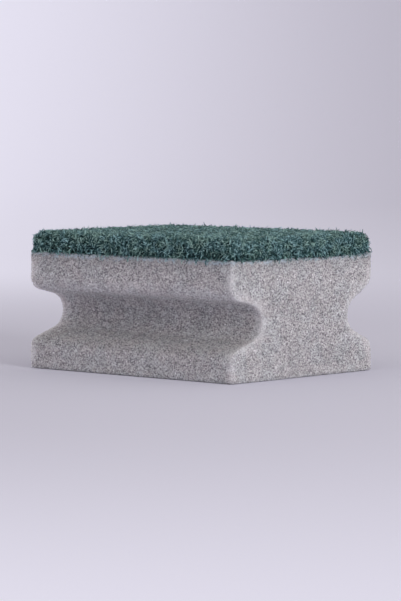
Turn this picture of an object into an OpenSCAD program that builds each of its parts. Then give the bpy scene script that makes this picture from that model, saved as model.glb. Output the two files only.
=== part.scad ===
// Cleaning sponge: a soft foam block with a scouring pad glued on top.
// A finger groove runs the whole length of both long sides, so that wet hands can hold it.
// +X runs along the length, +Z is up, and the origin is at the middle of the foam's base.

/* [Foam block] */
// Length of the foam block, along X
block_length = 90; // [60:1:160]
// Width of the foam block between its two grooved sides, along Y
block_width = 70; // [50:1:120]
// Height of the foam block, from its base to the pad
foam_height = 39; // [34:0.5:80]

/* [Finger grooves] */
// Height of the grooves' centre line above the base
groove_height = 18.9; // [14:0.1:24]
// Radius of the round bottom of a groove
groove_radius = 5.9; // [3:0.1:7]
// Depth of the front groove, from the side of the block
front_groove_depth = 15; // [9:0.1:24]
// Depth of the back groove, from the side of the block
back_groove_depth = 12.4; // [9:0.1:24]
// Reach of the front groove's mouth above the centre line, before its lip is rounded
front_mouth_above = 8.1; // [6.5:0.1:11]
// Reach of the back groove's mouth above the centre line, before its lip is rounded
back_mouth_above = 10.5; // [6.5:0.1:11]
// Reach of both mouths below the centre line, before their lips are rounded
mouth_below = 9.3; // [6.5:0.1:11]
// Radius of the upper lip of a groove
upper_lip_radius = 4.5; // [1:0.1:6]
// Radius of the lower lip of a groove
lower_lip_radius = 3.5; // [1:0.1:6]

/* [Scouring pad] */
// Thickness of the scouring pad
pad_thickness = 6.5; // [4:0.5:12]
// How far each end of the pad stands back from the end of the foam
pad_end_inset = 0.6; // [0:0.1:4]
// How far each long side of the pad stands back from the side of the foam
pad_side_inset = 0.6; // [0:0.1:4]
// Radius that the cut leaves along the pad's top edges
pad_edge_radius = 3; // [0.5:0.1:3.8]
// Radius of the pad's upright corners
pad_corner_radius = 1.6; // [0.5:0.1:6]

/* [Hidden] */
$fn = 96;
foam_colour = [0.68, 0.65, 0.66];
pad_colour = [0.12, 0.33, 0.29];
pad_length = block_length - 2 * pad_end_inset;
pad_width = block_width - 2 * pad_side_inset;
// How far a cutting outline runs past the foam, so that it leaves no skin
overcut = 1;
// Extra radius of each blend, so that it crosses the straight stretch beside it and leaves no sliver
blend_margin = 0.002;

// Angle by which a flank closes in from the mouth, so that it meets the round bottom tangentially
function flank_angle(depth, mouth) =
    let (run = depth - groove_radius)
    acos(groove_radius / sqrt(run * run + mouth * mouth)) - atan2(run, mouth);

// Distance from the sharp corner of a mouth to the ends of its rounded lip
function lip_setback(depth, mouth, lip) =
    lip / tan((90 + flank_angle(depth, mouth)) / 2);

// Height of a lip's centre from the groove's centre line
function lip_height(depth, mouth, lip) = mouth + lip_setback(depth, mouth, lip);

// Points of one half of a groove, from outside the foam to the round bottom.
// The first number is the depth into the foam, the second the distance from the centre line.
function half_groove(depth, mouth, lip) =
    let (
        angle = flank_angle(depth, mouth),
        setback = lip_setback(depth, mouth, lip),
        top = lip_height(depth, mouth, lip)
    )
    [
        [-overcut, top],
        [lip, top],
        [setback * cos(angle), mouth - setback * sin(angle)],
        [depth - groove_radius + groove_radius * sin(angle), groove_radius * cos(angle)]
    ];

// The same points on the other side of the centre line, in the opposite order
function mirrored(points) = [for (i = [len(points) - 1 : -1 : 0]) [points[i][0], -points[i][1]]];

// Section of one groove: straight flanks, tangent round bottom and rounded lips
module groove_section(depth, mouth_above) {
    difference() {
        union() {
            polygon(concat(
                half_groove(depth, mouth_above, upper_lip_radius),
                mirrored(half_groove(depth, mouth_below, lower_lip_radius))
            ));
            translate([depth - groove_radius, 0]) circle(groove_radius + blend_margin);
        }
        translate([upper_lip_radius, lip_height(depth, mouth_above, upper_lip_radius)])
            circle(upper_lip_radius + blend_margin);
        translate([lower_lip_radius, -lip_height(depth, mouth_below, lower_lip_radius)])
            circle(lower_lip_radius + blend_margin);
    }
}

// Section of the foam across its length, with one groove in each side
module foam_section() {
    difference() {
        translate([-block_width / 2, 0]) square([block_width, foam_height]);
        translate([-block_width / 2, groove_height])
            groove_section(front_groove_depth, front_mouth_above);
        translate([block_width / 2, groove_height])
            mirror([1, 0]) groove_section(back_groove_depth, back_mouth_above);
    }
}

// Section of the pad, with both of its top edges rounded
module pad_section(width) {
    translate([-width / 2, 0]) square([width, pad_thickness - pad_edge_radius]);
    translate([-width / 2 + pad_edge_radius, 0])
        square([width - 2 * pad_edge_radius, pad_thickness]);
    for (side = [-1, 1])
        translate([side * (width / 2 - pad_edge_radius), pad_thickness - pad_edge_radius])
            circle(pad_edge_radius);
}

// Outline of the pad seen from above, with its upright corners rounded
module pad_outline() {
    square([pad_length - 2 * pad_corner_radius, pad_width], center = true);
    square([pad_length, pad_width - 2 * pad_corner_radius], center = true);
    for (x = [-1, 1], y = [-1, 1])
        translate([x * (pad_length / 2 - pad_corner_radius), y * (pad_width / 2 - pad_corner_radius)])
            circle(pad_corner_radius);
}

// Stretches a section along X, with its first axis along Y and its second axis up
module along_x(length) {
    rotate([90, 0, 90]) linear_extrude(length, center = true) children();
}

// Stretches a section along Y, with its first axis along X and its second axis up
module along_y(length) {
    rotate([90, 0, 0]) linear_extrude(length, center = true) children();
}

// Foam block, cut from one piece
module foam_block() {
    color(foam_colour) along_x(block_length) foam_section();
}

// Scouring pad, which lies on the foam over the whole of its underside
module scouring_pad() {
    color(pad_colour) translate([0, 0, foam_height]) intersection() {
        linear_extrude(pad_thickness) pad_outline();
        along_x(pad_length + 2 * overcut) pad_section(pad_width);
        along_y(pad_width + 2 * overcut) pad_section(pad_length);
    }
}

foam_block();
scouring_pad();
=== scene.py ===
"""Looks of a cleaning sponge: a pored foam block with finger grooves, under a nonwoven scouring pad.

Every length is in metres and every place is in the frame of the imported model: +X along the sponge, +Z up
through the pad, with the origin at the middle of the foam's base.
"""

import logging
import math
from collections.abc import Callable, Mapping, Sequence
from dataclasses import dataclass, field
from enum import Enum
from functools import reduce
from typing import Any, ClassVar

import bpy
import numpy as np
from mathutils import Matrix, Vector
from mathutils.geometry import delaunay_2d_cdt


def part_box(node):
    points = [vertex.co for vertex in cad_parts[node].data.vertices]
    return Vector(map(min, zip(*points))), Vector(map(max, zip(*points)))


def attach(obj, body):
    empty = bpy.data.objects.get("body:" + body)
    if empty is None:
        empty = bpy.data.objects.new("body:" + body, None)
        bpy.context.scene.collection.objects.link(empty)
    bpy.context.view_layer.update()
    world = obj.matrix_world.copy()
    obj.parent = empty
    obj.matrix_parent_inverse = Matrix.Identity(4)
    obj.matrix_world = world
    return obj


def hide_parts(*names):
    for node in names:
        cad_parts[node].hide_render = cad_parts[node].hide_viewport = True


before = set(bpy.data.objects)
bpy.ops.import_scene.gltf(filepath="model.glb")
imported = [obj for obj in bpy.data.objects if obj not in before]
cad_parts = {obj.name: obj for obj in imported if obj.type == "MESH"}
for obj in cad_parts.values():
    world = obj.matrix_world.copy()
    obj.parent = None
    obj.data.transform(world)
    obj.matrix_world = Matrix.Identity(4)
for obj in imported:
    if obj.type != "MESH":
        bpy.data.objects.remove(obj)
log = logging.getLogger("sponge")

MM = 0.001
CLOSE = 0.01 * MM  # Points nearer than this count as one
TINY = 0.001 * MM  # Lengths below this count as nothing
NONZERO = 1e-9  # Keeps a length that something is divided by from being nil
MIDDLE = (0.5, 0.5, 0.5)  # Mean of coloured noise

Colour = tuple[float, float, float, float]
Range = tuple[float, float]
Socket = bpy.types.NodeSocket
Inputs = Mapping[str | int, Any]
Skin = tuple[np.ndarray, np.ndarray]

PATCHES: Range = (0.3, 0.7)  # Span of noise that is eased into soft patches
SHARP_PATCHES: Range = (0.4, 0.6)


class Node(Enum):
    """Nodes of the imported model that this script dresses."""

    FOAM = "foam_block"
    PAD = "scouring_pad"


class Slot(Enum):
    """Material slots of the record."""

    FOAM = "foam"
    PAD = "pad"


def pick(sockets: Any, key: str | int) -> Socket:
    """Finds one socket of a node.

    Args:
        sockets: The node's inputs or its outputs.
        key: The socket's number, or the name of one that is in use.

    Returns:
        The socket.
    """
    if isinstance(key, int):
        return sockets[key]
    return next(s for s in sockets if s.name == key and s.enabled)


class Graph:
    """A shader or geometry tree under construction."""

    def __init__(self, tree: bpy.types.NodeTree) -> None:
        """Starts an empty tree."""
        self.tree = tree
        tree.nodes.clear()

    def add(self, kind: str, inputs: Inputs | None = None, **settings: Any) -> bpy.types.Node:
        """Adds a node, sets its options and fills its inputs.

        Args:
            kind: Blender's name of the node type.
            inputs: For each input, by name or number, a constant or an output socket to link.
            settings: The node's own options.

        Returns:
            The new node.
        """
        node = self.tree.nodes.new(kind)
        for name, value in settings.items():
            setattr(node, name, value)
        for key, value in (inputs or {}).items():
            if isinstance(value, Socket):
                self.tree.links.new(value, pick(node.inputs, key))
            else:
                pick(node.inputs, key).default_value = value
        return node

    def out(self, kind: str, output: str | int, inputs: Inputs | None = None, **settings: Any) -> Socket:
        """Adds a node and returns one of its outputs, by name or number."""
        return pick(self.add(kind, inputs, **settings).outputs, output)

    def math(self, operation: str, first: Any, second: Any = 0.0) -> Socket:
        """Adds a number operation and returns its result."""
        return self.out("ShaderNodeMath", 0, {0: first, 1: second}, operation=operation)

    def product(self, *factors: Any) -> Socket:
        """Returns the product of two or more numbers."""
        return reduce(lambda first, second: self.math("MULTIPLY", first, second), factors)

    def total(self, *terms: Any) -> Socket:
        """Returns the sum of two or more numbers."""
        return reduce(lambda first, second: self.math("ADD", first, second), terms)

    def minus(self, first: Any, second: Any) -> Socket:
        """Returns one number less another."""
        return self.math("SUBTRACT", first, second)

    def vector(self, operation: str, first: Any, second: Any) -> Socket:
        """Adds a vector operation and returns its result."""
        return self.out("ShaderNodeVectorMath", 0, {0: first, 1: second}, operation=operation)

    def scaled(self, direction: Any, amount: Any) -> Socket:
        """Returns a vector times a number."""
        return self.out("ShaderNodeVectorMath", 0, {0: direction, "Scale": amount}, operation="SCALE")

    def xyz(self, x: Any = 0.0, y: Any = 0.0, z: Any = 0.0) -> Socket:
        """Returns the vector made of three numbers."""
        return self.out("ShaderNodeCombineXYZ", 0, {0: x, 1: y, 2: z})

    def height(self, place: Any) -> Socket:
        """Returns how high a place lies."""
        return self.out("ShaderNodeSeparateXYZ", "Z", {0: place})

    def blend(self, factor: Any, low: Any, high: Any) -> Socket:
        """Returns a colour between low and high."""
        return self.out("ShaderNodeMix", 2, {0: factor, 6: low, 7: high}, data_type="RGBA")

    def remap(self, value: Any, low: float, high: float, to_low: float = 0.0,
              to_high: float = 1.0) -> Socket:
        """Returns a value eased from one range to another, and held at its ends."""
        inputs = {"Value": value, "From Min": low, "From Max": high, "To Min": to_low, "To Max": to_high}
        return self.out("ShaderNodeMapRange", 0, inputs, interpolation_type="SMOOTHSTEP")

    def noise(self, where: Any, size: Any, detail: float = 2.0, output: str = "Fac") -> Socket:
        """Returns noise whose lumps measure about the given size.

        Args:
            where: The place to look it up.
            size: The size of a lump, a constant or an output socket.
            detail: How much finer noise is laid over it.
            output: Fac for a number, Color for a vector.

        Returns:
            The noise, between 0 and 1.
        """
        scale = self.math("DIVIDE", 1.0, size) if isinstance(size, Socket) else 1.0 / size
        return self.out("ShaderNodeTexNoise", output, {"Vector": where, "Scale": scale, "Detail": detail})


class MaterialGraph(Graph):
    """The shader tree of a new material."""

    def __init__(self, name: str) -> None:
        """Makes the material and finds the places on its object."""
        self.material = bpy.data.materials.new(name)
        self.material.use_nodes = True
        super().__init__(self.material.node_tree)
        self.place = self.out("ShaderNodeTexCoord", "Object")

    def stored(self, name: str) -> Socket:
        """Returns a named number of the mesh."""
        return self.out("ShaderNodeAttribute", "Fac", attribute_name=name)

    def close(self, shader: Socket) -> bpy.types.Material:
        """Ends the tree in a shader and returns the material."""
        self.add("ShaderNodeOutputMaterial", {"Surface": shader})
        return self.material

    def rough(self, colour: Socket, relief: Inputs, inputs: Inputs) -> bpy.types.Material:
        """Ends the tree in a rough and uneven surface.

        Args:
            colour: The surface's colour.
            relief: The inputs of its bump: a height, a distance and a strength.
            inputs: Further inputs of its shader.

        Returns:
            The finished material.
        """
        inputs = {"Base Color": colour, "Normal": self.out("ShaderNodeBump", 0, relief), **inputs}
        return self.close(self.out("ShaderNodeBsdfPrincipled", 0, inputs))


def keep_shape(piece: bpy.types.Object) -> None:
    """Turns what a piece's modifiers make into its plain mesh.

    Args:
        piece: The object to work on.
    """
    evaluated = piece.evaluated_get(bpy.context.evaluated_depsgraph_get())
    old = piece.data
    piece.data = bpy.data.meshes.new_from_object(evaluated)
    piece.modifiers.clear()
    bpy.data.meshes.remove(old)


class GeometryRecipe(Graph):
    """A Geometry Nodes tree with named inputs, applied to an object and then turned to a plain mesh."""

    def __init__(self, name: str, sizes: Mapping[str, float | int]) -> None:
        """Makes the tree's interface.

        Args:
            name: What the tree makes.
            sizes: Its named inputs and their values.
        """
        super().__init__(bpy.data.node_groups.new(name, "GeometryNodeTree"))
        self.sizes = dict(sizes)
        face = self.tree.interface
        face.new_socket("Geometry", in_out="INPUT", socket_type="NodeSocketGeometry")
        face.new_socket("Geometry", in_out="OUTPUT", socket_type="NodeSocketGeometry")
        for label, value in self.sizes.items():
            kind = "NodeSocketInt" if isinstance(value, int) else "NodeSocketFloat"
            face.new_socket(label, in_out="INPUT", socket_type=kind)
        face.new_socket("Material", in_out="INPUT", socket_type="NodeSocketMaterial")
        self.source = self.add("NodeGroupInput")

    def given(self, label: str) -> Socket:
        """Returns one of the tree's own inputs."""
        return self.source.outputs[label]

    def here(self) -> Socket:
        """Returns the place of each point."""
        return self.out("GeometryNodeInputPosition", 0)

    def moved(self, geometry: Any, **how: Any) -> Socket:
        """Moves the points by an Offset or to a Position and returns the geometry."""
        return self.out("GeometryNodeSetPosition", 0, {"Geometry": geometry, **how})

    def random(self, low: Any, high: Any, seed: Any, kind: str = "FLOAT") -> Socket:
        """Returns one random number or vector for each element."""
        inputs = {"Min": low, "Max": high, "Seed": seed}
        return self.out("FunctionNodeRandomValue", "Value", inputs, data_type=kind)

    def within(self, value: Any, reach: Range) -> Socket:
        """Returns 1 where a value lies between two limits, and 0 elsewhere."""
        above = self.math("GREATER_THAN", value, reach[0])
        return self.product(above, self.math("LESS_THAN", value, reach[1]))

    def attribute(self, name: str) -> Socket:
        """Returns a named number of the mesh or the curves."""
        return self.out("GeometryNodeInputNamedAttribute", 0, {"Name": name}, data_type="FLOAT")

    def store(self, geometry: Any, name: str, value: Any, domain: str) -> Socket:
        """Stores a named number on each element and returns the geometry."""
        inputs = {"Geometry": geometry, "Name": name, "Value": value}
        return self.out("GeometryNodeStoreNamedAttribute", 0, inputs, data_type="FLOAT", domain=domain)

    def close(self, geometry: Socket, smooth: bool) -> None:
        """Ends the tree in real geometry with its material.

        Args:
            geometry: What the tree has made.
            smooth: Whether its faces are shaded smooth.
        """
        real = self.out("GeometryNodeRealizeInstances", 0, {0: geometry})
        shaded = self.out("GeometryNodeSetShadeSmooth", 0, {"Geometry": real, "Shade Smooth": smooth})
        inputs = {"Geometry": shaded, "Material": self.given("Material")}
        self.add("NodeGroupOutput", {"Geometry": self.out("GeometryNodeSetMaterial", 0, inputs)})

    def apply(self, piece: bpy.types.Object, material: bpy.types.Material) -> None:
        """Runs the tree on a piece and keeps the result as its plain mesh.

        Args:
            piece: The object to work on.
            material: The finish that the new faces take.
        """
        modifier = piece.modifiers.new(self.tree.name, "NODES")
        modifier.node_group = self.tree
        values = {**self.sizes, "Material": material}
        for item in self.tree.interface.items_tree:
            if item.in_out == "INPUT" and item.name in values:
                modifier[item.identifier] = values[item.name]
        keep_shape(piece)
        piece.data.name = piece.name


def chosen(holder: Any, *names: str) -> dict[str, Any]:
    """Returns some of the fields of a piece by name."""
    return {name: getattr(holder, name) for name in names}


def new_object(name: str, data: bpy.types.ID) -> bpy.types.Object:
    """Makes an object and links it to the scene.

    Args:
        name: The object's name.
        data: Its mesh, lamp or camera.

    Returns:
        The new object.
    """
    made = bpy.data.objects.new(name, data)
    bpy.context.scene.collection.objects.link(made)
    return made


def new_piece(name: str, points: Sequence[Any], faces: Sequence[Any]) -> bpy.types.Object:
    """Makes a mesh object from points and faces.

    Args:
        name: The object's name.
        points: Corner places.
        faces: Corner numbers of each face.

    Returns:
        The new object.
    """
    mesh = bpy.data.meshes.new(name)
    mesh.from_pydata(points, [], faces)
    mesh.update()
    return new_object(name, mesh)


def corner_places(mesh: bpy.types.Mesh) -> np.ndarray:
    """Reads a mesh's corner places.

    Args:
        mesh: The mesh.

    Returns:
        The places, one row each.
    """
    places = np.empty(len(mesh.vertices) * 3)
    mesh.vertices.foreach_get("co", places)
    return places.reshape(-1, 3)


@dataclass(frozen=True)
class FoamFinish:
    """Dry open-cell foam: pale struts and voids darkened with painted shade in a fine grain, with light that
    creeps through it, painted light on its edges, painted glints and painted shade near the pad.

    A pair named edge, or chance, says where a trait starts and where it is full.
    """

    strut: Colour = (0.705, 0.698, 0.70, 1.0)
    # painted rim light: paler colour laid on the block's edges and the grooves' lips, where light creeps
    # through the foam
    rim: Colour = (0.85, 0.825, 0.825, 1.0)
    # painted shade: the dark colour of the pores' holes
    void: Colour = (0.15, 0.137, 0.155, 1.0)
    glue_stain: Colour = (0.68, 0.80, 0.90, 1.0)
    # painted glints: a few cells take this near-white colour
    glint: Colour = (0.95, 0.94, 0.97, 1.0)
    warm: Colour = (1.012, 0.995, 0.992, 1.0)
    cool: Colour = (0.99, 1.005, 1.008, 1.0)
    cell_size: float = 0.38 * MM
    cell_middle: float = 0.45
    cell_contrast: float = 0.96
    large_cell_size: float = 0.85 * MM
    large_cell_contrast: float = 0.2
    strut_share: float = 0.62
    hollow_edge: Range = (0.6, 0.2)
    hollow_chance: Range = (0.9, 0.2)
    hollow_shade: float = 0.25
    pit_edge: Range = (0.2, 1.1)
    pit_shade: float = 0.15
    open_edge: Range = (0.4, 0.15)
    open_shade: float = 0.6
    open_share: float = 0.12
    glint_share: float = 0.006
    rim_light_shares: Range = (0.45, 0.9)
    rim_light_patch: float = 5 * MM
    stain_height: float = 1.7 * MM
    stain_gap: float = 0.3 * MM
    stain_share: float = 0.85
    # Painted shade: the foam's colour darkens towards the pad, down to this share, over this reach.
    pad_shade: float = 0.79
    pad_shade_reach: float = 6 * MM
    pad_shade_gap: float = 0.5 * MM
    mottle: Range = (0.95, 1.05)
    mottle_size: float = 9 * MM
    tint_size: float = 6 * MM
    relief: float = 0.2 * MM
    relief_edge: Range = (0.5, 0.1)
    relief_share: float = 0.6
    creep: float = 5 * MM
    creep_share: float = 1.0
    creep_colour: tuple[float, float, float] = (1.0, 0.93, 0.95)
    roughness: float = 0.85
    gloss: float = 0.25

    def cells(self, g: MaterialGraph, size: float) -> tuple[Socket, Socket]:
        """Cuts through a cloud of cells.

        Args:
            g: The material's tree.
            size: Mean distance between two cells.

        Returns:
            How far the cut passes from the nearest cell's middle, and a random number for that cell.
        """
        found = g.add("ShaderNodeTexVoronoi", {"Vector": g.place, "Scale": 1.0 / size}, feature="F1")
        chance = g.out("ShaderNodeSeparateColor", 0, {0: found.outputs["Color"]})
        return found.outputs["Distance"], chance

    def material(self, foam_top: float) -> bpy.types.Material:
        """Builds the material.

        Args:
            foam_top: Height at which the foam meets the pad.

        Returns:
            The material.
        """
        g = MaterialGraph("foam")
        height = g.height(g.place)
        away, chance = self.cells(g, self.cell_size)
        far, large_chance = self.cells(g, self.large_cell_size)
        # Painted shade: the colour darkens in voids, at the pits' middles and in rare large open pores; the
        # rest of the tone varies at random.
        hollow = g.product(g.remap(away, *self.hollow_edge), g.remap(chance, *self.hollow_chance))
        tone = g.total(g.product(g.minus(chance, self.cell_middle), self.cell_contrast),
                       g.product(g.minus(large_chance, 0.5), self.large_cell_contrast))
        tone = g.minus(tone, g.remap(g.stored("pore"), *self.pit_edge, 0.0, self.pit_shade))
        tone = g.minus(tone, g.product(hollow, self.hollow_shade))
        colour = g.blend(g.total(self.strut_share, tone), self.void, self.strut)
        opened = g.product(g.remap(far, *self.open_edge, 0.0, self.open_shade),
                           g.math("GREATER_THAN", large_chance, 1.0 - self.open_share))
        colour = g.blend(opened, colour, self.void)
        # Painted glints: rare cells are coloured near-white.
        colour = g.blend(g.math("GREATER_THAN", chance, 1.0 - self.glint_share), colour, self.glint)
        # Painted light: edges and lips are blended towards the paler rim colour, in uneven patches.
        patchy = g.remap(g.noise(g.place, self.rim_light_patch, 1.0), *PATCHES, *self.rim_light_shares)
        colour = g.blend(g.product(g.stored("painted_edge_light"), patchy), colour, self.rim)
        ragged = g.total(height, g.product(g.minus(0.5, large_chance), self.stain_height))
        glued = (foam_top - self.stain_height, foam_top - self.stain_gap)
        colour = g.blend(g.remap(ragged, *glued, 0.0, self.stain_share), colour, self.glue_stain)
        # Painted shade: darker towards the pad and on the grooves' upward-facing flanks.
        near_pad = (foam_top - self.pad_shade_reach, foam_top - self.pad_shade_gap)
        shade = g.product(g.remap(height, *near_pad, 1.0, self.pad_shade), g.minus(1.0, g.stored("painted_flank_shade")))
        mottle = g.remap(g.noise(g.place, self.mottle_size, 3.0), *PATCHES, *self.mottle)
        patches = g.remap(g.noise(g.place, self.tint_size, 1.0), *SHARP_PATCHES)
        colour = g.vector("MULTIPLY", colour, g.blend(patches, self.warm, self.cool))
        colour = g.scaled(colour, g.product(mottle, shade))
        relief = g.product(g.total(hollow, g.remap(far, *self.relief_edge)), -self.relief)
        return g.rough(colour, {"Height": relief, "Distance": 1.0, "Strength": self.relief_share}, {
            "Roughness": self.roughness, "Specular IOR Level": self.gloss,
            "Subsurface Weight": self.creep_share, "Subsurface Radius": self.creep_colour,
            "Subsurface Scale": self.creep,
        })


@dataclass(frozen=True)
class FibreFinish:
    """Dark green nylon fibre with abrasive resin, its tone varying at random, with painted shade and
    highlight: darker the deeper a fibre lies and lighter where it stands proud.
    """

    # painted shade: near black, for buried fibres and for the mat that stands for the depth of the web
    deep: Colour = (0.004, 0.013, 0.015, 1.0)
    middle: Colour = (0.055, 0.145, 0.145, 1.0)
    # partly painted highlight: the colour of the proudest fibres
    light: Colour = (0.42, 0.66, 0.65, 1.0)
    bluish: Colour = (0.955, 1.0, 1.055, 1.0)
    greenish: Colour = (1.03, 1.0, 0.93, 1.0)
    middle_shades: Range = (0.1, 0.65)
    light_shades: Range = (0.65, 1.4)
    tone_spread: float = 0.8
    grit_size: float = 0.4 * MM
    grit_spread: float = 2.1
    grit_relief: float = 0.1 * MM
    grit_share: float = 0.7
    strand_size: float = 1.1 * MM
    strand_edge: Range = (0.06, 0.01)
    strand_relief: float = 0.25 * MM
    net_shifts: tuple[float, ...] = (0.0, 10 * MM, 20 * MM)
    tint_size: float = 3.5 * MM
    # painted shade: fibres darken towards the pad's glued face
    base_shade: float = -0.12
    base_reach: float = 3.5 * MM
    mat_roughness: float = 0.8
    fibre_roughness: float = 0.6
    gloss: float = 0.3

    def strands(self, g: MaterialGraph, shift: float) -> Socket:
        """Draws one net of curly strands.

        Args:
            g: The material's tree.
            shift: How far the net is shifted against the first one.

        Returns:
            1 on a strand and 0 between them.
        """
        wave = g.noise(g.vector("ADD", g.place, (shift, 0.0, 0.0)), self.strand_size, 1.0)
        return g.remap(g.math("ABSOLUTE", g.minus(wave, 0.5)), *self.strand_edge)

    def mat_material(self) -> bpy.types.Material:
        """Builds the material of the mat between and under the surface fibres: near-black painted shade for
        the depth of the web, with dimmer strands drawn in it.

        Returns:
            The material.
        """
        g = MaterialGraph("pad_mat")
        nets = [self.strands(g, shift) for shift in self.net_shifts]
        web = reduce(lambda first, second: g.math("MAXIMUM", first, second), nets)
        relief = {"Height": web, "Distance": self.strand_relief, "Strength": 1.0}
        surface = {"Roughness": self.mat_roughness, "Specular IOR Level": self.gloss}
        return g.rough(g.blend(web, self.deep, self.middle), relief, surface)

    def fibre_material(self, pad_base: float) -> bpy.types.Material:
        """Builds the material of the surface fibres, each with a tone of its own.

        Args:
            pad_base: Height of the pad's glued face, near which the fibres are darker.

        Returns:
            The material.
        """
        g = MaterialGraph("pad_fibre")
        grit = g.noise(g.place, self.grit_size)
        # Painted shade: darker towards the pad's glued face.
        low = g.remap(g.height(g.place), pad_base, pad_base + self.base_reach, self.base_shade, 0.0)
        # Painted shade and highlight: lower fibres darker, proud ones lighter; the stored tone and the grit
        # vary at random.
        shade = g.total(g.stored("proud"), g.product(g.minus(g.stored("tone"), 0.5), self.tone_spread),
                        g.product(g.minus(grit, 0.5), self.grit_spread), low)
        dark = g.blend(g.remap(shade, *self.middle_shades), self.deep, self.middle)
        colour = g.blend(g.remap(shade, *self.light_shades), dark, self.light)
        patches = g.remap(g.noise(g.place, self.tint_size, 1.0), *SHARP_PATCHES)
        colour = g.vector("MULTIPLY", colour, g.blend(patches, self.bluish, self.greenish))
        relief = {"Height": grit, "Distance": self.grit_relief, "Strength": self.grit_share}
        surface = {"Roughness": self.fibre_roughness, "Specular IOR Level": self.gloss}
        return g.rough(colour, relief, surface)


@dataclass
class Outline:
    """Closed outline of the foam's end, walked anticlockwise as seen from +X, from the middle of its top."""

    points: np.ndarray
    walked: np.ndarray = field(init=False)
    decimals: ClassVar[int] = 8

    def __post_init__(self) -> None:
        """Works out how far along the outline each point lies."""
        steps = np.linalg.norm(np.diff(self.points, axis=0), axis=1)
        self.walked = np.concatenate([[0.0], np.cumsum(steps)])

    @classmethod
    def of_node(cls, node: Node) -> "Outline":
        """Reads the outline from the +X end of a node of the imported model.

        Args:
            node: The node whose end is flat and square to X.

        Returns:
            The outline, with its first point repeated at its end.
        """
        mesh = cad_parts[node.value].data
        places = corner_places(mesh)
        faces = np.array([face.vertices[:] for face in mesh.polygons])
        flat = np.abs(places[faces][:, :, 0] - places[:, 0].max()) < TINY
        keys = [tuple(row) for row in np.round(places[:, 1:], cls.decimals).tolist()]
        edges = {(keys[a], keys[b]) for t in faces[flat.all(axis=1)] for a, b in zip(t, np.roll(t, -1))}
        onward = {a: b for a, b in edges if (b, a) not in edges}
        top = max(z for _, z in onward)
        start = min(p for p in onward if p[1] == top)
        walk = [start]
        while onward[walk[-1]] != start:
            walk.append(onward[walk[-1]])
        middle = (0.0, top)
        return cls(np.array([middle, *walk, middle]))

    @property
    def length(self) -> float:
        """How long the whole outline is."""
        return float(self.walked[-1])

    def at(self, walked: np.ndarray) -> np.ndarray:
        """Returns the places (y, z) on the outline at the given distances along it."""
        return np.stack([np.interp(walked, self.walked, self.points[:, k]) for k in range(2)], axis=1)

    def corners(self, sharpest: float = 30.0) -> np.ndarray:
        """Returns how far along its sharp corners lie.

        Args:
            sharpest: The smallest turn that counts as a corner, in degrees.

        Returns:
            The distances along the outline.
        """
        steps = np.diff(self.points, axis=0)
        heading = np.unwrap(np.arctan2(steps[:, 1], steps[:, 0]))
        turns = np.abs(np.diff(heading)) > math.radians(sharpest)
        return self.walked[1:-1][turns]

    def encloses(self, places: np.ndarray) -> np.ndarray:
        """Says which places lie inside the outline.

        Args:
            places: Places (y, z).

        Returns:
            For each place, whether it lies inside.
        """
        a, b = self.points[:-1], self.points[1:]
        y, z = places[:, :1], places[:, 1:]
        spans = (a[:, 1] > z) != (b[:, 1] > z)
        rise = np.where(b[:, 1] == a[:, 1], 1.0, b[:, 1] - a[:, 1])
        crossing = a[:, 0] + (z - a[:, 1]) * (b[:, 0] - a[:, 0]) / rise
        return (spans & (y < crossing)).sum(axis=1) % 2 == 1

    def nearest(self, places: np.ndarray) -> tuple[np.ndarray, np.ndarray]:
        """Finds the outline's nearest point to each place.

        Args:
            places: Places (y, z).

        Returns:
            How far that point is from the place, and how far along the outline it lies.
        """
        a, along = self.points[:-1], np.diff(self.points, axis=0)
        reach = np.maximum((along ** 2).sum(axis=1), NONZERO ** 2)
        off = places[:, None, :] - a
        share = np.clip((off * along).sum(axis=2) / reach, 0.0, 1.0)
        away = np.linalg.norm(off - share[:, :, None] * along, axis=2)
        row, best = np.arange(len(places)), away.argmin(axis=1)
        return away[row, best], self.walked[best] + share[row, best] * np.sqrt(reach[best])

    def facing_up(self, walked: np.ndarray) -> np.ndarray:
        """Says how far the outline faces up at some of its points.

        Args:
            walked: How far along the outline the points lie.

        Returns:
            From -1 where it faces down to 1 where it faces up.
        """
        steps = np.diff(self.points, axis=0)
        up = -steps[:, 0] / np.maximum(np.linalg.norm(steps, axis=1), NONZERO)
        return np.interp(walked, (self.walked[1:] + self.walked[:-1]) / 2, up)

    def bulge(self, walked: np.ndarray, reach: float) -> np.ndarray:
        """Says how strongly the outline bulges round some of its points.

        Args:
            walked: How far along the outline the points lie.
            reach: How far the look to both sides goes.

        Returns:
            0 where it is flat or hollow, and 1 at a square corner.
        """
        steps = np.diff(self.points, axis=0)
        turns = np.diff(np.unwrap(np.arctan2(steps[:, 1], steps[:, 0])))
        away = (walked[:, None] - self.walked[1:-1]) / reach
        return np.clip((turns * np.exp(-away ** 2)).sum(axis=1) / (math.pi / 2), 0.0, 1.0)


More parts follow.
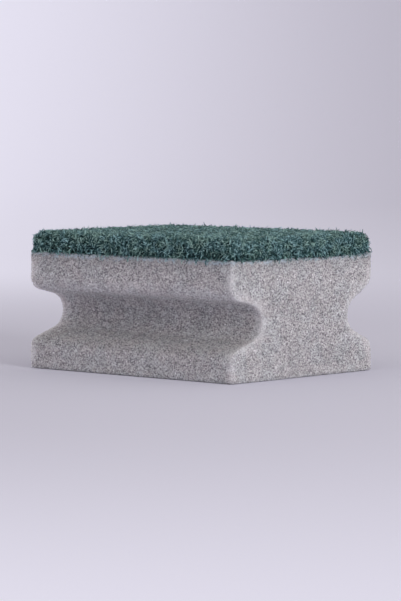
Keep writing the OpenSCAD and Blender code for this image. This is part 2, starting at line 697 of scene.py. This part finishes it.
@dataclass
class Patch:
    """A flat patch of the foam's skin, with one point for each pore."""

    fixed: list[tuple[float, float]] = field(default_factory=list)
    rows: list[tuple[int, int]] = field(default_factory=list)
    decimals: int = 9
    closeness: float = 1e-6

    def add_row(self, places: np.ndarray) -> None:
        """Adds a row of fixed points that the triangles follow.

        Args:
            places: The points, in order.
        """
        numbers = []
        for place in map(tuple, np.round(places, self.decimals).tolist()):
            if place not in self.fixed:
                self.fixed.append(place)
            numbers.append(self.fixed.index(place))
        self.rows += [(a, b) for a, b in zip(numbers, numbers[1:]) if a != b]

    def spread(self, loose: np.ndarray, covers: Callable[[np.ndarray], np.ndarray],
               rounds: int) -> Skin:
        """Triangulates the fixed and loose points and evens out the loose ones.

        Args:
            loose: Points that may move.
            covers: Says which places lie on the patch.
            rounds: How often the loose points move to the middle of their surroundings.

        Returns:
            All the points and the triangles between them.
        """
        points = np.vstack([np.array(self.fixed), loose])
        free = np.arange(len(self.fixed), len(points))
        for turn in range(rounds + 1):
            spots = [Vector(place) for place in (points / MM).tolist()]
            triangles = np.array(delaunay_2d_cdt(spots, self.rows, [], 0, self.closeness, False)[2])
            middles = points[triangles].mean(axis=1)
            triangles = triangles[covers(middles)]
            if turn == rounds:
                break
            middles = points[triangles].mean(axis=1)
            a, b, c = points[triangles].transpose(1, 0, 2)
            areas = np.abs(np.cross(b - a, c - a))
            total, weight = np.zeros_like(points), np.zeros(len(points))
            for corner in range(3):
                np.add.at(total, triangles[:, corner], middles * areas[:, None])
                np.add.at(weight, triangles[:, corner], areas)
            points[free] = total[free] / weight[free, None]
        return points, triangles


def pore_count(area: float, pitch: float) -> int:
    """Returns how many even triangles' corners, a pitch apart, lie on an area."""
    return round(area / (pitch ** 2 * math.sqrt(0.75)))


@dataclass
class FoamBlock:
    """Foam block whose whole skin is cut pores: each one is a small pit with struts round it."""

    pore_pitch: float = 0.9 * MM
    hidden_pitch: float = 4 * MM
    pitch_spread: Range = (0.75, 1.25)
    rim_gap_share: float = 0.3  # Of a pore's pitch
    pore_depth: float = 0.25 * MM
    depth_spread: float = 0.5
    edge_width: float = 0.05 * MM
    edge_depth_share: float = 0.7
    strut_wander: float = 0.09 * MM
    pad_cover: float = 4 * MM
    # Painted light on the block's edges and the grooves' lips: how far it reaches, how it falls off and how
    # strong it is.
    rim_light_reach: float = 2.4 * MM
    rim_light_fall: float = 1.5
    end_rim_light_share: float = 0.62
    lip_light_reach: float = 3.0 * MM
    lip_light_share: float = 0.3
    dim_reach: float = 2.5 * MM
    # Painted shade on the grooves' upward-facing flanks: how steep a flank counts in full, how dark it gets,
    # and how deep into the groove it reaches and fades.
    shelf_slope: float = 0.5  # Upward part of the normal that counts in full
    shelf_shade: float = 0.2
    shelf_reach: float = 11.5 * MM
    shelf_fade: float = 2 * MM
    sag: float = 0.5 * MM
    sag_size: float = 30 * MM
    foot: float = 3 * MM
    nibble: float = 0.9 * MM
    nibble_size: float = 1.8 * MM
    nibble_level: float = 0.4
    nibble_steepness: float = 3.0
    rounds: int = 3
    seed: int = 7
    finish: FoamFinish = FoamFinish()

    def __post_init__(self) -> None:
        """Reads the block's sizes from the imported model."""
        low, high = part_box(Node.FOAM.value)
        self.ends = (low[0], high[0])
        self.half_width = (high[1] - low[1]) / 2
        self.top = high[2]
        self.outline = Outline.of_node(Node.FOAM)
        self.draw = np.random.default_rng(self.seed)

    def stations(self, start: float, end: float, pitch: float) -> np.ndarray:
        """Spaces stations unevenly.

        Args:
            start: The first station.
            end: The last station.
            pitch: Their mean distance.

        Returns:
            The stations, with the first and the last.
        """
        count = max(1, round((end - start) / pitch))
        steps = self.draw.uniform(*self.pitch_spread, count)
        return start + (end - start) * np.concatenate([[0.0], np.cumsum(steps) / steps.sum()])

    def zones(self) -> list[tuple[float, float, float]]:
        """Splits the outline at its corners and where the pad starts to hide it.

        Returns:
            For each stretch, its start, its end and its pore pitch.
        """
        cover = self.half_width - self.pad_cover
        whole = self.outline.length
        stops = [0.0, cover, *self.outline.corners(), whole - cover, whole]
        pitches = [self.hidden_pitch, *[self.pore_pitch] * (len(stops) - 3), self.hidden_pitch]
        return list(zip(stops, stops[1:], pitches))

    def side_patch(self) -> tuple[Skin, dict[float, np.ndarray]]:
        """Spreads pores over the skin round the block, unrolled flat.

        Returns:
            Places in space with triangles, and the stations along the outline at each end.
        """
        patch = Patch()
        rings = {}
        for x in self.ends:
            walked = np.unique(np.concatenate([self.stations(*zone) for zone in self.zones()]))
            rings[x] = walked
            patch.add_row(np.stack([walked, np.full_like(walked, x)], axis=1))
        seam = self.stations(*self.ends, self.hidden_pitch)
        for walked in (0.0, self.outline.length):
            patch.add_row(np.stack([np.full_like(seam, walked), seam], axis=1))
        for walked in self.outline.corners():
            row = self.stations(*self.ends, self.pore_pitch)
            patch.add_row(np.stack([np.full_like(row, walked), row], axis=1))
        loose = []
        for start, end, pitch in self.zones():
            count = pore_count((end - start) * (self.ends[1] - self.ends[0]), pitch)
            loose.append(self.draw.uniform((start, self.ends[0]), (end, self.ends[1]), (count, 2)))
        points, triangles = patch.spread(
            np.vstack(loose), lambda places: np.full(len(places), True), self.rounds)
        across = self.outline.at(points[:, 0])
        return (np.column_stack([points[:, 1], across]), triangles), rings

    def end_patch(self, ring: np.ndarray) -> Skin:
        """Spreads pores over one end.

        Args:
            ring: Stations along the outline where the end's rim has its points.

        Returns:
            Places (y, z) and triangles.
        """
        patch = Patch()
        patch.add_row(self.outline.at(ring))
        low, high = self.outline.points.min(axis=0), self.outline.points.max(axis=0)
        count = pore_count(float(np.prod(high - low)), self.pore_pitch)
        loose = self.draw.uniform(low, high, (count, 2))
        gap = self.rim_gap_share * self.pore_pitch
        clear = self.outline.encloses(loose) & (self.outline.nearest(loose)[0] > gap)
        return patch.spread(loose[clear], self.outline.encloses, self.rounds)

    def shell(self) -> bpy.types.Object:
        """Makes the closed shell with one corner for each pore.

        Returns:
            The shell, which notes how deep and how bright each pore may be.
        """
        (side, side_faces), rings = self.side_patch()
        places, faces, start = [side], [side_faces], len(side)
        for x, ring in rings.items():
            flat, triangles = self.end_patch(ring)
            places.append(np.column_stack([np.full(len(flat), x), flat]))
            faces.append((triangles if x > 0 else triangles[:, ::-1]) + start)
            start += len(flat)
        keys = np.round(np.vstack(places) / CLOSE).astype(int)
        _, first, number = np.unique(keys, axis=0, return_index=True, return_inverse=True)
        points = np.vstack(places)[first]
        faces = number.reshape(-1)[np.vstack(faces)]
        faces = faces[(faces != np.roll(faces, -1, axis=1)).all(axis=1)]
        piece = new_piece("sponge_foam", points.tolist(), faces.tolist())
        self.note(piece, points)
        return piece

    def note(self, piece: bpy.types.Object, points: np.ndarray) -> None:
        """Stores how open each point of the shell is, painted light where light creeps out of its edges and
        lips, and painted shade on the grooves' upward-facing flanks.

        Args:
            piece: The shell.
            points: Its corner places.
        """
        to_end = (self.ends[1] - self.ends[0]) / 2 - np.abs(points[:, 0])
        to_rim, walked = self.outline.nearest(points[:, 1:])
        on_end = to_end < CLOSE
        to_edge = np.where(on_end, to_rim, to_end)
        # Painted light: paler colour near the block's edges and round the grooves' lips, weaker on the ends
        # and where a lip faces up, and faded out near the top and the base.
        fall = np.exp(-(to_edge / self.rim_light_reach) ** self.rim_light_fall)
        rim = np.where(on_end, self.end_rim_light_share, 1.0) * fall
        slope = self.outline.facing_up(walked) / self.shelf_slope
        up = np.where(on_end, 0.0, np.clip(slope, 0.0, 1.0))
        bulge = self.outline.bulge(walked, self.lip_light_reach)
        lip_light = np.where(on_end, 0.0, self.lip_light_share * (1 - up) * bulge)
        height, inward = points[:, 2], self.half_width - np.abs(points[:, 1])
        shaded = np.exp((height - self.top) / self.dim_reach) + np.exp(-height / self.dim_reach)
        painted_edge_light = np.maximum(rim, lip_light) * (1 - np.minimum(shaded, 1.0))
        # Painted shade: darker colour where the grooves' flanks and lips face up, fading out deep in the
        # groove.
        open_part = np.clip((self.shelf_reach - inward) / self.shelf_fade, 0.0, 1.0)
        painted_flank_shade = np.where(height < self.top - self.shelf_reach, self.shelf_shade * up * open_part, 0.0)
        on_top, to_skin = height > self.top - CLOSE, np.minimum(inward, to_end)
        hidden = on_top & (to_skin > self.pad_cover / 2)
        sink = np.where(hidden, 0.0, np.where(to_edge < self.edge_width, self.edge_depth_share, 1.0))
        brow = on_top & (to_skin < CLOSE)
        for name, values in (("sink", sink), ("painted_edge_light", painted_edge_light), ("painted_flank_shade", painted_flank_shade), ("brow", brow)):
            stored = piece.data.attributes.new(name, "FLOAT", "POINT").data
            stored.foreach_set("value", values.astype(np.float32))

    def recipe(self) -> GeometryRecipe:
        """Builds the tree that turns each corner of the shell into a pore.

        Returns:
            The tree.
        """
        g = GeometryRecipe("pores", chosen(
            self, "pore_depth", "depth_spread", "strut_wander", "sag", "sag_size", "foot", "nibble",
            "nibble_size", "nibble_level", "nibble_steepness", "seed"))
        place = g.here()
        lump = g.noise(place, g.given("sag_size"), 0.0, "Color")
        drift = g.scaled(g.vector("SUBTRACT", lump, MIDDLE), g.given("sag"))
        above = g.math("MINIMUM", g.math("DIVIDE", g.height(place), g.given("foot")), 1.0)
        drift = g.vector("MULTIPLY", drift, g.xyz(above, above))
        over = g.minus(g.noise(place, g.given("nibble_size"), 1.0), g.given("nibble_level"))
        brow = g.product(g.attribute("brow"), g.given("nibble"))
        bite = g.product(g.math("MAXIMUM", over, 0.0), brow, g.given("nibble_steepness"))
        bent = g.moved(g.given("Geometry"), Offset=g.vector("SUBTRACT", drift, g.xyz(z=bite)))
        cells = g.out("GeometryNodeDualMesh", 0, {0: bent})
        spread, seed = g.given("depth_spread"), g.given("seed")
        chance = g.random(g.minus(1.0, spread), g.total(1.0, spread), seed)
        cells = g.store(cells, "cell", g.product(chance, g.attribute("sink")), "FACE")
        inward = g.product(g.given("pore_depth"), -1.0, g.attribute("cell"))
        pushed = {"Mesh": cells, "Offset Scale": inward, "Individual": True}
        extruded = g.add("GeometryNodeExtrudeMesh", pushed, mode="FACES")
        bottom = extruded.outputs["Top"]
        shrinking = {"Geometry": extruded.outputs["Mesh"], "Selection": bottom, "Scale": 0.0}
        shrunk = g.out("GeometryNodeScaleElements", 0, shrinking, domain="FACE")
        pored = g.store(shrunk, "pore", g.product(bottom, g.attribute("cell")), "POINT")
        merging = {"Geometry": pored, "Selection": bottom, "Distance": TINY}
        joined = g.out("GeometryNodeMergeByDistance", 0, merging)
        wander = g.random((-1.0, -1.0, -1.0), (1.0, 1.0, 1.0), seed, "FLOAT_VECTOR")
        g.close(g.moved(joined, Offset=g.scaled(wander, g.given("strut_wander"))), smooth=False)
        return g

    def build(self) -> bpy.types.Object:
        """Makes the foam piece and ties it to its node.

        Returns:
            The finished piece.
        """
        piece = self.shell()
        self.recipe().apply(piece, self.finish.material(self.top))
        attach(piece, "root")
        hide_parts(Node.FOAM.value)
        return piece


@dataclass(frozen=True)
class FibreLayer:
    """Web of crimped fibres over the faces of the pad that look in one range of directions."""

    name: str
    upward: Range
    endward: Range
    fibres_per_m2: float
    length: float
    radius: float
    swing: float
    bury: float
    lift: float
    slant: float
    points: int = 5
    length_spread: Range = (0.45, 1.35)
    crimp: float = 1.6 * MM
    crimp_size: float = 1.1 * MM
    weave: float = 1.3 * MM
    weave_size: float = 1.0 * MM
    own_shift: float = 40 * MM  # Sets each fibre in noise of its own
    stray: float = 0.7 * MM
    stray_rarity: float = 6.0
    overhang: float = 1.2 * MM
    overhang_rarity: float = 3.0
    skirt: float = 0.9 * MM
    skirt_height: float = 1.5 * MM
    # Painted shade and highlight: heights above the skin at which a fibre is coloured darkest and lightest
    dark_level: float = -0.9 * MM
    light_level: float = 0.45 * MM
    least_girth: float = 0.65
    girth_spread: float = 0.7
    knot_size: float = 1.2 * MM
    knot_edge: Range = (0.35, 0.7)
    knot_girths: Range = (0.75, 1.4)
    taper: float = 0.5
    tip_sharpness: float = 3.0
    level_nudge: float = 0.01  # Gives fibres on a level face a direction too
    seed: int = 21

    def recipe(self, pad_base: float) -> GeometryRecipe:
        """Builds the tree that lays the fibres over a slab.

        Args:
            pad_base: Height of the pad's glued face.

        Returns:
            The tree.
        """
        g = GeometryRecipe(self.name, {"base": pad_base, **chosen(
            self, "fibres_per_m2", "length", "radius", "swing", "bury", "lift", "slant", "points", "crimp",
            "crimp_size", "weave", "weave_size", "own_shift", "stray", "stray_rarity", "overhang",
            "overhang_rarity", "skirt", "skirt_height", "dark_level", "light_level", "least_girth",
            "girth_spread", "taper", "tip_sharpness", "seed")})
        slab = g.given("Geometry")
        fibres, rise = self.settle(g, slab, self.lay(g, slab))
        # Painted shade and highlight: a point's colour gets lighter the higher it stands above the skin and
        # darker the deeper it is buried.
        dark = g.given("dark_level")
        proud = g.math("DIVIDE", g.minus(rise, dark), g.minus(g.given("light_level"), dark))
        fibres = g.store(fibres, "proud", g.math("MINIMUM", g.math("MAXIMUM", proud, 0.0), 1.0), "POINT")
        knots = g.remap(g.noise(g.here(), self.knot_size, 1.0), *self.knot_edge, *self.knot_girths)
        girth = g.total(g.given("least_girth"), g.product(g.attribute("girth"), g.given("girth_spread")))
        tapered = g.product(girth, knots, g.minus(1.0, g.product(self.tip(g), g.given("taper"))))
        section = g.out("GeometryNodeCurvePrimitiveCircle", 0, {"Resolution": 3, "Radius": g.given("radius")})
        tubes = {"Curve": fibres, "Profile Curve": section, "Scale": tapered, "Fill Caps": True}
        g.close(g.out("GeometryNodeCurveToMesh", 0, tubes), smooth=True)
        return g

    def lay(self, g: GeometryRecipe, slab: Socket) -> Socket:
        """Lays straight fibres on the slab, each turned about the skin's normal.

        Args:
            g: The tree.
            slab: The pad's own form.

        Returns:
            The straight fibres, each with numbers of its own.
        """
        normal = g.add("ShaderNodeSeparateXYZ", {0: g.out("GeometryNodeInputNormal", 0)})
        endward = g.math("ABSOLUTE", normal.outputs["X"])
        covered = g.product(g.within(normal.outputs["Z"], self.upward), g.within(endward, self.endward))
        spots = g.add("GeometryNodeDistributePointsOnFaces", {
            "Mesh": slab, "Selection": covered, "Density": g.given("fibres_per_m2"), "Seed": g.given("seed")})
        facing = g.add("ShaderNodeSeparateXYZ", {0: spots.outputs["Normal"]})
        level_way = g.xyz(g.minus(self.level_nudge, facing.outputs["Y"]), facing.outputs["X"])
        axes = {"Primary Axis": spots.outputs["Normal"], "Secondary Axis": level_way}
        settled = g.out("FunctionNodeAxesToRotation", 0, axes, primary_axis="Z", secondary_axis="X")
        angle = g.product(g.random(-1.0, 1.0, 1), g.given("swing"))
        spin = g.out("FunctionNodeAxisAngleToRotation", 0, {"Axis": (0.0, 0.0, 1.0), "Angle": angle})
        turning = {"Rotation": settled, "Rotate By": spin}
        turned = g.out("FunctionNodeRotateRotation", 0, turning, rotation_space="LOCAL")
        half = g.math("DIVIDE", g.given("length"), 2.0)
        ends = {"Start": g.xyz(g.product(half, -1.0)), "End": g.xyz(half)}
        line = g.out("GeometryNodeCurvePrimitiveLine", 0, ends)
        line = g.out("GeometryNodeResampleCurve", 0, {"Curve": line, "Count": g.given("points")})
        size = g.random(*self.length_spread, 2)
        fibres = g.out("GeometryNodeInstanceOnPoints", 0, {
            "Points": spots.outputs["Points"], "Instance": line, "Rotation": turned,
            "Scale": g.xyz(size, size, size)})
        for seed, name in enumerate(("tone", "level", "loose", "girth", "lean"), start=3):
            fibres = g.store(fibres, name, g.random(0.0, 1.0, seed), "INSTANCE")
        return g.out("GeometryNodeRealizeInstances", 0, {0: fibres})

    def settle(self, g: GeometryRecipe, slab: Socket, fibres: Socket) -> tuple[Socket, Socket]:
        """Crimps the fibres and weaves them in and out of the slab's skin.

        Args:
            g: The tree.
            slab: The pad's own form.
            fibres: The straight fibres.

        Returns:
            The settled fibres and how far each point stands above the skin.
        """
        own = g.scaled(g.xyz(g.attribute("level"), g.attribute("tone")), g.given("own_shift"))
        shifted = g.vector("ADD", g.here(), own)
        bend = g.noise(shifted, g.given("crimp_size"), 1.0, "Color")
        crimped = g.scaled(g.vector("SUBTRACT", bend, MIDDLE), g.given("crimp"))
        weave = g.product(g.minus(g.noise(shifted, g.given("weave_size"), 0.0), 0.5), g.given("weave"))
        bury, loose = g.given("bury"), g.attribute("loose")
        level = g.minus(g.product(g.attribute("level"), g.total(g.given("lift"), bury)), bury)
        flyaway = g.product(g.math("POWER", loose, g.given("stray_rarity")), g.given("stray"))
        along = g.minus(g.out("GeometryNodeSplineParameter", "Factor"), 0.5)
        lean = g.product(g.minus(g.attribute("lean"), 0.5), 2.0)
        slant = g.product(along, lean, g.given("slant"))
        height = g.total(level, weave, g.product(self.tip(g), flyaway), slant)
        fibres = g.moved(g.store(fibres, "height", height, "POINT"), Offset=crimped)
        now, rise = g.here(), g.attribute("height")
        near = {0: slab, "Sample Position": now}
        nearest = g.out("GeometryNodeProximity", "Position", near, target_element="FACES")
        skin = {"Mesh": slab, "Value": g.out("GeometryNodeInputNormal", 0), "Sample Position": now}
        facing = g.out("GeometryNodeSampleNearestSurface", 0, skin, data_type="FLOAT_VECTOR")
        above = g.minus(g.height(nearest), g.given("base"))
        low = g.minus(1.0, g.math("MINIMUM", g.math("DIVIDE", above, g.given("skirt_height")), 1.0))
        outward = g.total(rise, g.product(low, g.given("skirt")))
        sagging = g.math("POWER", loose, g.given("overhang_rarity"))
        drop = g.xyz(z=g.product(low, g.given("overhang"), sagging))
        settled = g.vector("SUBTRACT", g.vector("ADD", nearest, g.scaled(facing, outward)), drop)
        return g.moved(fibres, Position=settled), rise

    def tip(self, g: GeometryRecipe) -> Socket:
        """Says how near the end of its fibre each point is.

        Args:
            g: The tree.

        Returns:
            1 at a fibre's two ends, falling fast to 0 along it.
        """
        along = g.out("GeometryNodeSplineParameter", "Factor")
        from_middle = g.math("ABSOLUTE", g.minus(g.product(along, 2.0), 1.0))
        return g.math("POWER", from_middle, g.given("tip_sharpness"))


def top_layer(name: str, seed: int, **sizes: float) -> FibreLayer:
    """Returns a layer of long fibres over the pad's top."""
    return FibreLayer(name, upward=(0.6, 2.0), endward=(-1.0, 2.0), fibres_per_m2=1_160_000.0, seed=seed,
                      length=3.2 * MM, swing=math.pi, slant=0.9 * MM, **sizes)


def side_layer(name: str, seed: int, **sizes: Any) -> FibreLayer:
    """Returns a layer of short fibres over some of the pad's sides."""
    return FibreLayer(name, upward=(-0.5, 0.97), seed=seed, length=1.5 * MM, radius=0.15 * MM, swing=math.pi,
                      slant=1.5 * MM, **sizes)


@dataclass
class ScouringPad:
    """Nonwoven pad: a dense mat coloured near-black as painted shade, with a web of crimped fibres over its
    top and round its sides.
    """

    grid: float = 0.75 * MM
    lump: float = 1.8 * MM
    lump_size: float = 2.5 * MM
    lump_middle: float = 0.95
    glued_reach: float = 0.6 * MM
    layers: tuple[FibreLayer, ...] = (
        top_layer("pad_top_fibres", seed=21, radius=0.14 * MM, bury=0.7 * MM, lift=0.35 * MM),
        top_layer("pad_low_fibres", seed=22, radius=0.15 * MM, bury=1.1 * MM, lift=0.1 * MM),
        side_layer("pad_side_fibres", seed=23, endward=(-1.0, 0.7), fibres_per_m2=4_900_000.0,
                   bury=0.65 * MM, lift=0.6 * MM),
        side_layer("pad_end_fibres", seed=24, endward=(0.7, 2.0), fibres_per_m2=7_200_000.0,
                   bury=0.8 * MM, lift=0.45 * MM),
    )
    finish: FibreFinish = FibreFinish()

    def __post_init__(self) -> None:
        """Reads the height of the pad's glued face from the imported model."""
        self.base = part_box(Node.PAD.value)[0][2]

    def slab(self, name: str) -> bpy.types.Object:
        """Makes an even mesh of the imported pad's own form.

        Args:
            name: The new object's name.

        Returns:
            The slab.
        """
        piece = new_object(name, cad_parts[Node.PAD.value].data.copy())
        remesh = piece.modifiers.new("even", "REMESH")
        remesh.mode = "VOXEL"
        remesh.voxel_size = self.grid
        keep_shape(piece)
        piece.data.materials.clear()
        return piece

    def mat_recipe(self) -> GeometryRecipe:
        """Builds the tree that makes the slab's skin lumpy, but leaves its glued face flat.

        Returns:
            The tree.
        """
        g = GeometryRecipe("lumps", chosen(self, "lump", "lump_size", "lump_middle"))
        place = g.here()
        free = g.remap(g.height(place), self.base, self.base + self.glued_reach)
        wave = g.noise(place, g.given("lump_size"), 3.0)
        push = g.product(g.minus(wave, g.given("lump_middle")), g.given("lump"))
        offset = g.scaled(g.out("GeometryNodeInputNormal", 0), push)
        offset = g.vector("MULTIPLY", offset, g.xyz(1.0, 1.0, free))
        g.close(g.moved(g.given("Geometry"), Offset=offset), smooth=True)
        return g

    def build(self) -> list[bpy.types.Object]:
        """Makes the mat and its surface fibres and ties them to the pad's node.

        Returns:
            The finished pieces.
        """
        mat = self.slab("pad_mat")
        self.mat_recipe().apply(mat, self.finish.mat_material())
        pieces = [mat]
        material = self.finish.fibre_material(self.base)
        for layer in self.layers:
            fibres = self.slab(layer.name)
            layer.recipe(self.base).apply(fibres, material)
            pieces.append(fibres)
        for piece in pieces:
            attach(piece, "root")
            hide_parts(Node.PAD.value)
        return pieces


@dataclass(frozen=True)
class SweepFinish:
    """Matt pale lilac paper with painted light: a glow that only the camera sees makes it look brighter
    behind the sponge and to one side of it.
    """

    colour: Colour = (0.86, 0.855, 0.97, 1.0)
    wall_glow: float = 0.4
    wall_start: float = 0.15
    wall_reach: float = 0.6
    bright_side: tuple[float, float, float] = (-0.743, -0.669, 0.0)
    fade: float = 0.35

    def material(self) -> bpy.types.Material:
        """Builds the material.

        Returns:
            The material.
        """
        g = MaterialGraph("sweep")
        paper = g.out("ShaderNodeBsdfDiffuse", 0, {"Color": self.colour})
        out = g.out("ShaderNodeVectorMath", "Value", {0: g.place}, operation="LENGTH")
        sideways = {0: g.place, 1: self.bright_side}
        aside = g.out("ShaderNodeVectorMath", "Value", sideways, operation="DOT_PRODUCT")
        wall = g.product(g.remap(out, self.wall_start, self.wall_reach),
                         g.remap(aside, -self.fade, self.fade, 0.0, self.wall_glow))
        # Painted light: a glow seen only by camera rays, rising away from the sponge and towards one side.
        seen = g.out("ShaderNodeLightPath", "Is Camera Ray")
        glow = g.out("ShaderNodeEmission", 0, {"Color": self.colour, "Strength": g.product(seen, wall)})
        return g.close(g.out("ShaderNodeAddShader", 0, {0: paper, 1: glow}))


@dataclass(frozen=True)
class SoftLamp:
    """Round soft lamp that looks at the sponge."""

    name: str
    place: tuple[float, float, float]
    size: float
    power: float

    def build(self) -> bpy.types.Object:
        """Hangs the lamp and points it at the sponge.

        Returns:
            The lamp.
        """
        data = bpy.data.lights.new(self.name, "AREA")
        data.shape = "DISK"
        data.size = self.size
        data.energy = self.power
        lamp = new_object(self.name, data)
        lamp.location = self.place
        lamp.rotation_euler = Vector(self.place).to_track_quat("Z", "Y").to_euler()
        lamp.visible_camera = False
        return lamp


@dataclass
class Studio:
    """Pale floor that curves up all round, a soft lamp at one end, a weaker one in front and an even sky."""

    flat_radius: float = 1.6
    flat_rings: tuple[float, ...] = (0.25, 0.5, 1.0)
    rise_radius: float = 1.2
    rise_angle: float = math.radians(75)
    rise_rings: int = 12
    spokes: int = 96
    below: float = 0.1 * MM
    sky: Colour = (1.0, 0.958, 0.965, 1.0)
    sky_strength: float = 0.52
    lamps: tuple[SoftLamp, ...] = (
        SoftLamp("key", place=(1.4, -0.3, 0.35), size=0.5, power=8.0),
        SoftLamp("fill", place=(-0.3, -1.4, 0.25), size=0.5, power=1.0),
    )
    finish: SweepFinish = SweepFinish()

    def sweep(self) -> bpy.types.Object:
        """Makes the floor, a disc whose rim curves up into a wall.

        Returns:
            The floor.
        """
        rings = [(share * self.flat_radius, 0.0) for share in self.flat_rings]
        for angle in np.linspace(0.0, self.rise_angle, self.rise_rings + 1)[1:]:
            rings.append((self.flat_radius + self.rise_radius * math.sin(angle),
                          self.rise_radius * (1 - math.cos(angle))))
        turns = np.linspace(0.0, math.tau, self.spokes + 1)[:-1]
        points = [(0.0, 0.0, -self.below)]
        for radius, height in rings:
            points += [(radius * math.cos(t), radius * math.sin(t), height - self.below) for t in turns]
        steps = [(k, (k + 1) % self.spokes) for k in range(self.spokes)]
        faces = [(0, 1 + k, 1 + after) for k, after in steps]
        for ring in range(len(rings) - 1):
            a, b = 1 + ring * self.spokes, 1 + (ring + 1) * self.spokes
            faces += [(a + k, b + k, b + after, a + after) for k, after in steps]
        floor = new_piece("floor", points, faces)
        floor.data.shade_smooth()
        floor.data.materials.append(self.finish.material())
        return floor

    def build(self) -> None:
        """Sets up the floor, the lamps and the sky."""
        self.sweep()
        for lamp in self.lamps:
            lamp.build()
        world = bpy.data.worlds.new("sky")
        world.use_nodes = True
        g = Graph(world.node_tree)
        light = g.out("ShaderNodeBackground", 0, {"Color": self.sky, "Strength": self.sky_strength})
        g.add("ShaderNodeOutputWorld", {"Surface": light})
        bpy.context.scene.world = world
        bpy.context.scene.view_settings.view_transform = "Standard"


@dataclass(frozen=True)
class Viewpoint:
    """Camera at the photograph's viewing angle, worked out from the sponge's corners in the picture."""

    place: tuple[float, float, float] = (0.66898, -0.74006, 0.08959)
    heading: float = 42.11
    pitch: float = 3.83
    focal_pixels: float = 3002.0
    picture_height: int = 601
    sensor: float = 36.0

    def build(self) -> bpy.types.Object:
        """Makes the camera and gives it to the scene.

        Returns:
            The camera.
        """
        data = bpy.data.cameras.new("camera")
        data.sensor_width = self.sensor
        data.lens = self.focal_pixels * self.sensor / self.picture_height
        camera = new_object("camera", data)
        camera.location = self.place
        camera.rotation_euler = (math.radians(90 - self.pitch), 0.0, math.radians(self.heading))
        bpy.context.scene.camera = camera
        return camera


def report(piece: bpy.types.Object) -> None:
    """Logs a piece's size and triangle count.

    Args:
        piece: The finished piece.
    """
    mesh = piece.data
    mesh.calc_loop_triangles()
    size = " x ".join(f"{1000 * length:.1f}" for length in piece.dimensions)
    log.info("%s: %s mm, %d triangles", piece.name, size, len(mesh.loop_triangles))


def main() -> None:
    """Builds the camera, the studio and both parts of the sponge."""
    logging.basicConfig(level=logging.INFO, format="%(name)s: %(message)s")
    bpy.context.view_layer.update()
    Viewpoint().build()
    Studio().build()
    pieces = [FoamBlock().build(), *ScouringPad().build()]
    bpy.context.view_layer.update()
    for piece in pieces:
        report(piece)


if __name__ == "__main__":
    main()
